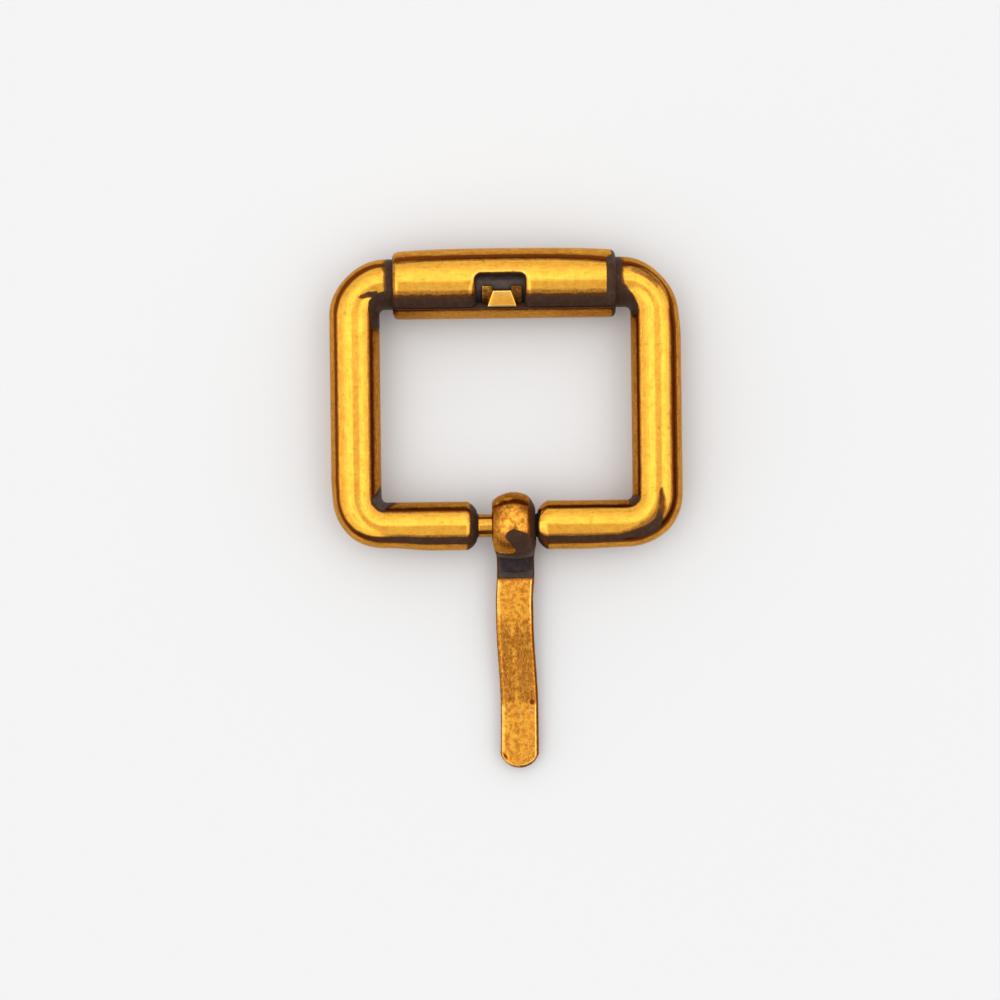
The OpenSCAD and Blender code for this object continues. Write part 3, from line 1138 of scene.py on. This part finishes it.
def make_prong(material):
    skin = Skin()
    places = [0.0]
    for end, count in SHANK_STEPS:
        places += spread(places[-1], end, count)[1:]
    places += [REACH - step for step in reversed(round_steps(SHANK_EDGE, TIP_STEPS)[:-1])]
    sections = [curl_section(skin, turn) for turn in spread(CURL, 0.0, CURL_STEPS)]
    sections += [shank_section(skin, along) for along in places[1:]]
    rings = [top + low[::-1] for top, low in sections]
    for ring, next_ring in zip(rings, rings[1:]):
        skin.faces += quads(closed(ring), closed(next_ring))
    for top, low in (sections[0], sections[-1]):
        skin.faces += quads(top, low)
    return skin.build("swing_prong", material)


# Finish

# Sockets of a node that mixes colours
MIX_SHARE = 0
MIX_FIRST = 6
MIX_SECOND = 7
MIX_RESULT = 2


def fill(item, inputs):
    """Fills a node's inputs with numbers, colours or values."""
    for key, value in inputs.items():
        if isinstance(value, Value):
            value.tree.links.new(value.socket, item.inputs[key])
        else:
            item.inputs[key].default_value = value


def add_node(tree, kind, output, inputs=None, **settings):
    """Adds a node, sets it, fills its inputs and returns one output as a value."""
    item = tree.nodes.new(kind)
    for key, setting in settings.items():
        setattr(item, key, setting)
    fill(item, inputs or {})
    return Value(tree, item.outputs[output])


class Value:
    """A number or colour that nodes work out. + - * / and abs work on it as on a plain number."""

    def __init__(self, tree, socket):
        self.tree = tree
        self.socket = socket

    def calculate(self, operation, other=0.0):
        return add_node(self.tree, "ShaderNodeMath", 0, {0: self, 1: other}, operation=operation)

    __add__ = partialmethod(calculate, "ADD")
    __sub__ = partialmethod(calculate, "SUBTRACT")
    __mul__ = partialmethod(calculate, "MULTIPLY")
    __truediv__ = partialmethod(calculate, "DIVIDE")
    __abs__ = partialmethod(calculate, "ABSOLUTE")

    def fade(self, low, high, start=0.0, end=1.0):
        """A smooth step from start, where this is low, to end, where it is high."""
        inputs = {"Value": self, "From Min": low, "From Max": high, "To Min": start, "To Max": end}
        return add_node(self.tree, "ShaderNodeMapRange", "Result", inputs, interpolation_type="SMOOTHSTEP")


def mix_colour(share, first, second):
    inputs = {MIX_SHARE: share, MIX_FIRST: first, MIX_SECOND: second}
    return add_node(share.tree, "ShaderNodeMix", MIX_RESULT, inputs, data_type="RGBA")


def lay(colour, tone, value, *steps):
    """Lays a tone on a colour, where a value fades in by its steps."""
    return mix_colour(value.fade(*steps), colour, tone)


MIDDLE_OF_NOISE = 0.5


def shifted(value, noise, amount):
    """A value moved up and down by noise, which makes the edge of what it marks ragged."""
    return value + (noise - MIDDLE_OF_NOISE) * amount


# Colours
GOLD = (0.99, 0.455, 0.050, 1.0)
PALE_GOLD = (1.0, 0.515, 0.059, 1.0)
DULL_GOLD = (0.99, 0.40, 0.046, 1.0)
DULL_PALE = (1.0, 0.48, 0.056, 1.0)
# Pale gold of painted highlights
HIGHLIGHT_GOLD = (1.0, 0.74, 0.27, 1.0)
BROWN = (0.31, 0.112, 0.017, 1.0)
LIGHT_BROWN = (0.50, 0.22, 0.044, 1.0)
DULL_BROWN = (0.33, 0.108, 0.013, 1.0)
DULL_LIGHT_BROWN = (0.47, 0.172, 0.024, 1.0)
DEEP_BROWN = (0.18, 0.036, 0.005, 1.0)
STAIN = (0.125, 0.042, 0.006, 1.0)
MOTTLE = (0.40, 0.108, 0.011, 1.0)
SPECK = (0.30, 0.08, 0.010, 1.0)
BLACK = (0.050, 0.022, 0.013, 1.0)
COLD_BLACK = (0.022, 0.017, 0.022, 1.0)
# Grey of dust and of a painted sheen on deep black
DUST_AND_SHEEN = (0.085, 0.062, 0.052, 1.0)
EDGE_TINT = (1.0, 0.76, 0.50, 1.0)

# Noises on the unbent stock: how far each is drawn out along it, from 0 to 1, its grains to a millimetre, how
# many finer layers it has and how strong those are
NOISES = {
    "cloud": (0.0, 1.3, 4.0, 0.6),
    "streak": (1.0, 3.2, 4.0, 0.55),
    "spots": (0.0, 4.2, 3.0, 0.6),
    "blotch": (0.0, 2.4, 4.0, 0.7),
    "ragged": (0.0, 1.7, 5.0, 0.75),
    "creases": (0.5, 2.6, 1.0, 0.55),
}
RUB_NOISE = (0.5, 1.9, 4.0)

# drawn is how each axis is scaled for the grain, black the tone of the deepest recesses, dusting how much
# grey of dust and painted sheen the flank lays in them, mottle and speckle the strength of mottles and
# specks, and rub that of the rub noise's finer layers
Finish = namedtuple("Finish", "drawn gold pale brown light_brown black dusting mottle speckle rub roughness")
FRAME_FINISH = Finish(
    (0.25, 2.0, 2.0), GOLD, PALE_GOLD, BROWN, LIGHT_BROWN, COLD_BLACK,
    dusting=0.7, mottle=0.2, speckle=0.35, rub=0.74, roughness=0.16,
)
ROLLER_FINISH = FRAME_FINISH._replace(black=BLACK, dusting=0.1)
PRONG_FINISH = Finish(
    (2.0, 2.0, 0.35), DULL_GOLD, DULL_PALE, DULL_BROWN, DULL_LIGHT_BROWN, COLD_BLACK,
    dusting=0.8, mottle=0.9, speckle=0.35, rub=0.53, roughness=0.24,
)


def grain(tree, finish, drawn, scale, detail, roughness):
    """A noise on the unbent stock."""
    place = add_node(tree, "ShaderNodeAttribute", "Vector", attribute_name="straight")
    stretch = [axis ** drawn for axis in finish.drawn]
    scaled = add_node(tree, "ShaderNodeVectorMath", 0, {0: place, 1: stretch}, operation="MULTIPLY")
    inputs = {"Vector": scaled, "Scale": scale, "Detail": detail, "Roughness": roughness}
    return add_node(tree, "ShaderNodeTexNoise", 0, inputs)


# Gold, with steps as (low, high) or (low, high, share at low, share at high)
PALE_CLOUDS = (0.38, 0.64)
MOTTLES = (0.43, 0.60)
MOTTLE_BY_FLANK = (0.1, 0.6)
MOTTLE_SHARES = (0.7, 1.3)
DARK_MOTTLES = (0.63, 0.70, 0.0, 0.6)
BROWN_STREAKS = (0.5, 0.75, 0.0, 0.3)


def gilded(grains, flank_and_painted_light, finish):
    """Gold with pale clouds, mottles and drawn streaks."""
    colour = lay(finish.gold, finish.pale, grains["cloud"], *PALE_CLOUDS)
    least, most = (share * finish.mottle for share in MOTTLE_SHARES)
    mottled = grains["blotch"].fade(*MOTTLES) * flank_and_painted_light.fade(*MOTTLE_BY_FLANK, least, most)
    colour = mix_colour(mottled, colour, MOTTLE)
    colour = lay(colour, MOTTLE, grains["blotch"], *DARK_MOTTLES)
    return lay(colour, BROWN, grains["streak"], *BROWN_STREAKS)


# Brown
RUB_AMOUNT = 1.1
BROWNED = (0.2, 0.85, 0.0, 0.9)
GRIT_STREAKS = 0.4
GRIT_SPOTS = 0.6
LIGHT_GRIT = (0.42, 0.58)
CREASE_WIDTH = 0.05
CREASE_SHARE = 0.5
CREASED_FROM = (0.3, 0.7)
CREASED_TO = (0.9, 1.2, 1.0, 0.0)
DEEPLY_BROWNED = (1.0, 1.7)
HIGHLIGHTED = (0.0, -1.0)
SPECKS = (0.62, 0.74)


def browned(colour, grains, flank_and_painted_light, finish):
    """The colour with brown sides, partly painted dark reflection, creases, painted highlights and specks,
    and how brown it is.
    """
    ragged_brown = shifted(flank_and_painted_light, grains["rub"], RUB_AMOUNT)
    brown = ragged_brown.fade(*BROWNED)
    grit = grains["streak"] * GRIT_STREAKS + grains["spots"] * GRIT_SPOTS
    colour = mix_colour(brown, colour, lay(finish.brown, finish.light_brown, grit, *LIGHT_GRIT))
    from_crease = abs(grains["creases"] - MIDDLE_OF_NOISE)
    creased = from_crease.fade(0.0, CREASE_WIDTH, CREASE_SHARE * finish.mottle, 0.0)
    creased *= flank_and_painted_light.fade(*CREASED_FROM) * flank_and_painted_light.fade(*CREASED_TO)
    colour = mix_colour(creased, colour, finish.pale)
    # Deep brown, which also lays the painted dark reflection line on the sides
    colour = lay(colour, DEEP_BROWN, ragged_brown, *DEEPLY_BROWNED)
    # Pale gold where flank is below zero, as painted highlights
    colour = lay(colour, HIGHLIGHT_GOLD, flank_and_painted_light, *HIGHLIGHTED)
    return lay(colour, SPECK, grains["spots"], *SPECKS, 0.0, finish.speckle), brown


# Black
RAGGED_AMOUNT = 0.9
STAINED = (0.12, 0.38, 0.0, 0.9)
BLACKENED = (0.36, 0.62)
DEEPLY_BLACKENED = (0.86, 0.98)
DUST_AND_SHEEN_BY_FLANK = (0.2, 1.2)
DUST_BLOTCHES = (0.45, 0.62, 0.0, 0.3)


def blackened(colour, grains, flank_and_painted_light, patina_and_shade, finish):
    """The colour with stained and black recesses, partly dark tarnish and partly painted shade, grey where
    they are deep with dust and a painted sheen, and how black it is.
    """
    spread_black = shifted(patina_and_shade, grains["ragged"], RAGGED_AMOUNT)
    colour = lay(colour, STAIN, spread_black, *STAINED)
    black = spread_black.fade(*BLACKENED)
    deep = patina_and_shade.fade(*DEEPLY_BLACKENED)
    dust_and_sheen = deep * flank_and_painted_light.fade(*DUST_AND_SHEEN_BY_FLANK, 0.0, finish.dusting) + grains["blotch"].fade(*DUST_BLOTCHES)
    black_dust_and_sheen = mix_colour(dust_and_sheen, mix_colour(deep, BLACK, finish.black), DUST_AND_SHEEN)
    return mix_colour(black, colour, black_dust_and_sheen), black


# Surface
SPECULAR_LEVEL = 0.25
ROUGH_STREAKS = (0.3, 0.75)
SMOOTHER = 0.04
ROUGHER = 0.08
BLACK_ROUGHER = 0.3
BROWN_ROUGHER = 0.05
BLACK_METALLIC = 0.25
RELIEF_SHARE = 0.5
RELIEF_STRENGTH = 0.09
RELIEF_DEPTH = 0.05 * MM


def antique_brass(name, finish):
    """Polished brass with brown sides, partly painted dark reflection, painted highlights, drawn grain,
    mottles, dark specks and dull black in the recesses, partly painted shade, with grey dust and painted
    sheen.
    """
    material = bpy.data.materials.new(name)
    material.use_nodes = True
    tree = material.node_tree
    grains = {key: grain(tree, finish, *noise) for key, noise in NOISES.items()}
    grains["rub"] = grain(tree, finish, *RUB_NOISE, finish.rub)
    flank_and_painted_light = add_node(tree, "ShaderNodeAttribute", "Fac", attribute_name="flank_and_painted_light")
    patina_and_shade = add_node(tree, "ShaderNodeAttribute", "Fac", attribute_name="patina_and_shade")
    colour, brown = browned(gilded(grains, flank_and_painted_light, finish), grains, flank_and_painted_light, finish)
    colour, black = blackened(colour, grains, flank_and_painted_light, patina_and_shade, finish)
    rough = grains["streak"].fade(*ROUGH_STREAKS, finish.roughness - SMOOTHER, finish.roughness + ROUGHER)
    relief = grains["streak"] * RELIEF_SHARE + grains["spots"] * RELIEF_SHARE
    bump_inputs = {"Height": relief, "Strength": RELIEF_STRENGTH, "Distance": RELIEF_DEPTH}
    fill(tree.nodes["Principled BSDF"], {
        "Base Color": colour,
        "Metallic": black.fade(0.0, 1.0, 1.0, BLACK_METALLIC),
        "Roughness": rough + black * BLACK_ROUGHER + brown * BROWN_ROUGHER,
        "Specular IOR Level": SPECULAR_LEVEL,
        "Specular Tint": EDGE_TINT,
        "Normal": add_node(tree, "ShaderNodeBump", "Normal", bump_inputs),
    })
    return material


# Stage, in metres

FLOOR_SIZE = 3.0
FLOOR_LOOKS = {"Base Color": (0.79, 0.79, 0.79, 1.0), "Roughness": 0.9, "Specular IOR Level": 0.1}
LENS = 100.0
SENSOR = 36.0
CLIP_START = 0.01
# Width of what the camera sees, where it aims and how far it is turned
FIELD = 79.7 * MM
AIM = (-0.57 * MM, 2.03 * MM)
ROLL = radians(-0.7)


def make_floor():
    """A plain pale floor under the lowest piece."""
    mesh = bpy.data.meshes.new("floor")
    half = FLOOR_SIZE / 2
    z = FLOOR_Z * MM
    corners = [(-half, -half, z), (half, -half, z), (half, half, z), (-half, half, z)]
    mesh.from_pydata(corners, [], [(0, 1, 2, 3)])
    material = bpy.data.materials.new("pale_floor")
    material.use_nodes = True
    fill(material.node_tree.nodes["Principled BSDF"], FLOOR_LOOKS)
    mesh.materials.append(material)
    floor = put_in_scene("floor", mesh)


def make_camera():
    """A camera that looks straight down."""
    data = bpy.data.cameras.new("camera")
    data.lens = LENS
    data.sensor_width = SENSOR
    data.clip_start = CLIP_START
    camera = put_in_scene("camera", data)
    camera.location = (AIM[0], AIM[1], FIELD / SENSOR * LENS)
    camera.rotation_euler = (0.0, 0.0, ROLL)
    bpy.context.scene.camera = camera


# Light: a bright ceiling above a dark horizon, with a dimmer place overhead where the camera stands. The
# ceiling's lower edge is at a different height on each side, in degrees, and it is soft below and above
EDGE_PLUS_X = 13.0
EDGE_MINUS_X = -3.0
EDGE_PLUS_Y = 8.0
EDGE_MINUS_Y = 30.0
SOFT_BELOW = 6.0
SOFT_ABOVE = 5.0
HORIZON_LIGHT = 0.11
# It brightens with height and dims towards +Y: (low, high, light at low, light at high)
CEILING_LIGHT = (25.0, 62.0, 0.92, 1.6)
PLUS_Y_LIGHT = (0.1, 0.5, 1.0, 0.85)
# Middle and half size of the dim place, in degrees from overhead, and its light by shares of its half size
DIM_X = 5.0
DIM_Y = -28.0
DIM_WIDTH = 15.0
DIM_LENGTH = 34.0
DIM_LIGHT = (0.85, 1.1, 0.43, 1.0)
# Keeps a division by the distance from overhead finite
TINY = 1e-6
WHITE = (1.0, 1.0, 1.0, 1.0)


def ceiling_edge(x, y):
    """Height of the ceiling's lower edge in a direction, in degrees."""
    distance = (x * x + y * y + TINY).calculate("SQRT")
    along_x = x / distance
    along_y = y / distance
    middle = (EDGE_PLUS_X + EDGE_MINUS_X + EDGE_PLUS_Y + EDGE_MINUS_Y) / 4
    tilt_x = (EDGE_PLUS_X - EDGE_MINUS_X) / 2
    tilt_y = (EDGE_PLUS_Y - EDGE_MINUS_Y) / 2
    x_over_y = (EDGE_PLUS_X + EDGE_MINUS_X - EDGE_PLUS_Y - EDGE_MINUS_Y) / 4
    edge = along_x * tilt_x + middle + along_y * tilt_y
    return edge + (along_x * along_x - along_y * along_y) * x_over_y


def from_dim_place(side, z, middle, half_size):
    """How many half sizes a direction is from the middle of the dim place, along one axis."""
    return abs((side.calculate("ARCTAN2", z).calculate("DEGREES") - middle) / half_size)


def make_world():
    """The ceiling and the horizon, as the world's light."""
    world = bpy.data.worlds.new("studio")
    bpy.context.scene.world = world
    world.use_nodes = True
    tree = world.node_tree
    direction = add_node(tree, "ShaderNodeTexCoord", "Generated")
    x, y, z = (add_node(tree, "ShaderNodeSeparateXYZ", axis, {0: direction}) for axis in "XYZ")
    height = z.calculate("ARCSINE").calculate("DEGREES")
    edge = ceiling_edge(x, y)
    lit = height.fade(edge - SOFT_BELOW, edge + SOFT_ABOVE)
    off_x = from_dim_place(x, z, DIM_X, DIM_WIDTH)
    off_y = from_dim_place(y, z, DIM_Y, DIM_LENGTH)
    ceiling = height.fade(*CEILING_LIGHT) * y.fade(*PLUS_Y_LIGHT)
    ceiling *= off_x.calculate("MAXIMUM", off_y).fade(*DIM_LIGHT)
    fill(tree.nodes["Background"], {"Color": WHITE, "Strength": lit * ceiling + HORIZON_LIGHT})


def dress(body, make, finish):
    """Makes the piece that stands for a body's node, in the body's finish."""
    slot = body + "_brass"
    piece = make(antique_brass(slot, finish))
    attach(piece, body)
    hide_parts(body)


make_floor()
make_camera()
make_world()
dress("frame", make_frame, FRAME_FINISH)
dress("roller", make_roller, ROLLER_FINISH)
dress("prong", make_prong, PRONG_FINISH)

bpy.context.scene.view_settings.view_transform = "Standard"
